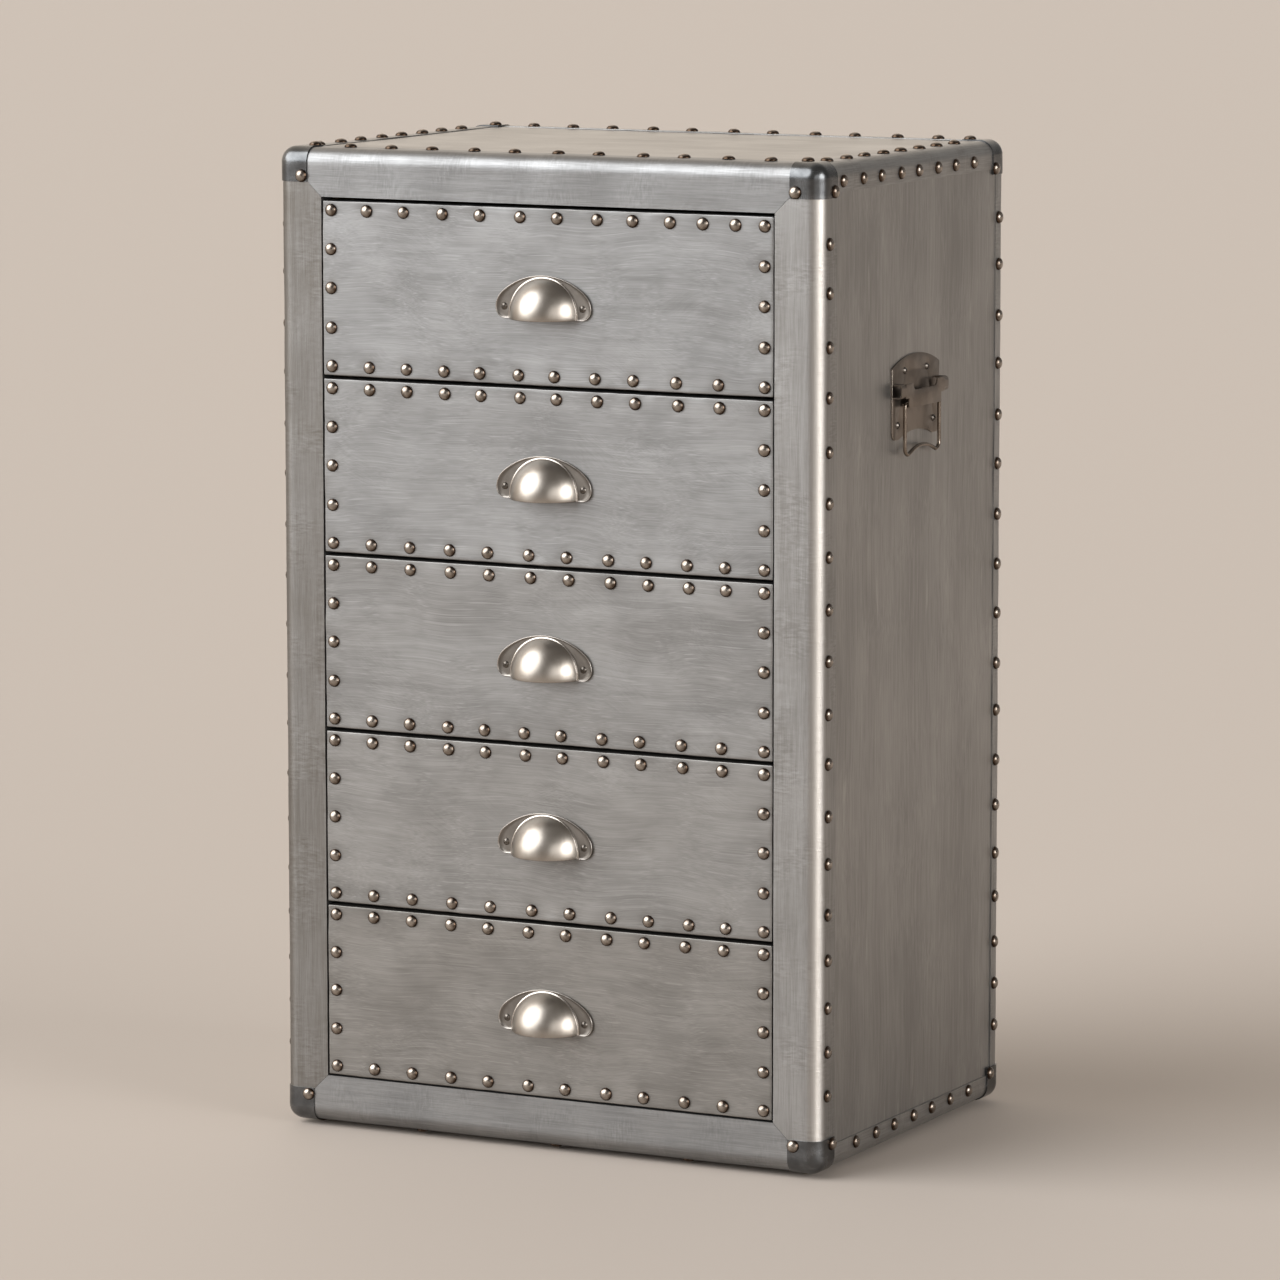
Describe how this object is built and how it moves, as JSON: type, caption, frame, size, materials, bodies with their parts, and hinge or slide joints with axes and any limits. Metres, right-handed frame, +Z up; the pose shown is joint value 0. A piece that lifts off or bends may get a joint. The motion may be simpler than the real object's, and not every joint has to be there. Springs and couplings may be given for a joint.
{
  "type": "drawer cabinet",
  "caption": "Upright metal-clad drawer cabinet with stacked drawers on cup pulls, tacked sheet edges, corner caps and a drop handle on each side.",
  "frame": {"origin": "on the floor plane, under the middle of the whole cabinet with its pulls and handles", "axes": "+Z up, -Y towards the drawer fronts, +X to the right as one faces the drawers"},
  "size_m": [0.5184, 0.3886, 0.83],
  "materials": {
    "board": "bare fibreboard",
    "dark_board": "painted black",
    "drawer_wood": "sealed plywood",
    "trim_sheet": "brushed, lightly crinkled",
    "panel_sheet": "brushed",
    "side_strip": "brushed",
    "drawer_sheet": "brushed, with swirls",
    "cap_steel": "polished",
    "tack_pewter": "antique nickel",
    "pull_nickel": "satin nickel",
    "handle_nickel": "satin, warm",
    "wire_nickel": "polished, warm",
    "screw_steel": "satin",
    "glide_plastic": "matt black"
  },
  "bodies": {
    "cabinet": {"side_panel_left": "board", "side_panel_right": "board", "top_panel": "board", "bottom_panel": "board", "back_panel": "dark_board", "front_frame": "board", "drawer_runners": "board", "front_trim_top": "trim_sheet", "front_trim_bottom": "trim_sheet", "front_trim_left": "trim_sheet", "front_trim_right": "trim_sheet", "panel_skins": "panel_sheet", "side_trim": "side_strip", "rear_trim": "side_strip", "corner_caps": "cap_steel", "side_tacks": "tack_pewter", "top_tacks": "tack_pewter", "hidden_tacks": "tack_pewter", "cap_tacks": "tack_pewter", "handle_plates": "handle_nickel", "handle_straps": "handle_nickel", "handle_screws": "screw_steel", "glides": "glide_plastic"},
    "drawer_1": {"drawer_1_front": "board", "drawer_1_skin": "drawer_sheet", "drawer_1_box": "drawer_wood", "drawer_1_bottom": "drawer_wood", "drawer_1_pull": "pull_nickel", "drawer_1_tacks": "tack_pewter", "drawer_1_screws": "screw_steel"},
    "drawer_2": {"drawer_2_front": "board", "drawer_2_skin": "drawer_sheet", "drawer_2_box": "drawer_wood", "drawer_2_bottom": "drawer_wood", "drawer_2_pull": "pull_nickel", "drawer_2_tacks": "tack_pewter", "drawer_2_screws": "screw_steel"},
    "drawer_3": {"drawer_3_front": "board", "drawer_3_skin": "drawer_sheet", "drawer_3_box": "drawer_wood", "drawer_3_bottom": "drawer_wood", "drawer_3_pull": "pull_nickel", "drawer_3_tacks": "tack_pewter", "drawer_3_screws": "screw_steel"},
    "drawer_4": {"drawer_4_front": "board", "drawer_4_skin": "drawer_sheet", "drawer_4_box": "drawer_wood", "drawer_4_bottom": "drawer_wood", "drawer_4_pull": "pull_nickel", "drawer_4_tacks": "tack_pewter", "drawer_4_screws": "screw_steel"},
    "drawer_5": {"drawer_5_front": "board", "drawer_5_skin": "drawer_sheet", "drawer_5_box": "drawer_wood", "drawer_5_bottom": "drawer_wood", "drawer_5_pull": "pull_nickel", "drawer_5_tacks": "tack_pewter", "drawer_5_screws": "screw_steel"},
    "handle_left": {"bail_left": "wire_nickel"},
    "handle_right": {"bail_right": "wire_nickel"}
  },
  "joints": [
    {"name": "drawer_1_slide", "type": "slide", "parent": "cabinet", "child": "drawer_1", "axis": [0, -1, 0], "range_m": [0, 0.25]},
    {"name": "drawer_2_slide", "type": "slide", "parent": "cabinet", "child": "drawer_2", "axis": [0, -1, 0], "range_m": [0, 0.25]},
    {"name": "drawer_3_slide", "type": "slide", "parent": "cabinet", "child": "drawer_3", "axis": [0, -1, 0], "range_m": [0, 0.25]},
    {"name": "drawer_4_slide", "type": "slide", "parent": "cabinet", "child": "drawer_4", "axis": [0, -1, 0], "range_m": [0, 0.25]},
    {"name": "drawer_5_slide", "type": "slide", "parent": "cabinet", "child": "drawer_5", "axis": [0, -1, 0], "range_m": [0, 0.25]},
    {"name": "handle_left_hinge", "type": "hinge", "parent": "cabinet", "child": "handle_left", "pos_m": [-0.2561, 0.00975, 0.621], "axis": [0, 1, 0], "range_deg": [0, 90]},
    {"name": "handle_right_hinge", "type": "hinge", "parent": "cabinet", "child": "handle_right", "pos_m": [0.2561, 0.00975, 0.621], "axis": [0, -1, 0], "range_deg": [0, 90]}
  ]
}
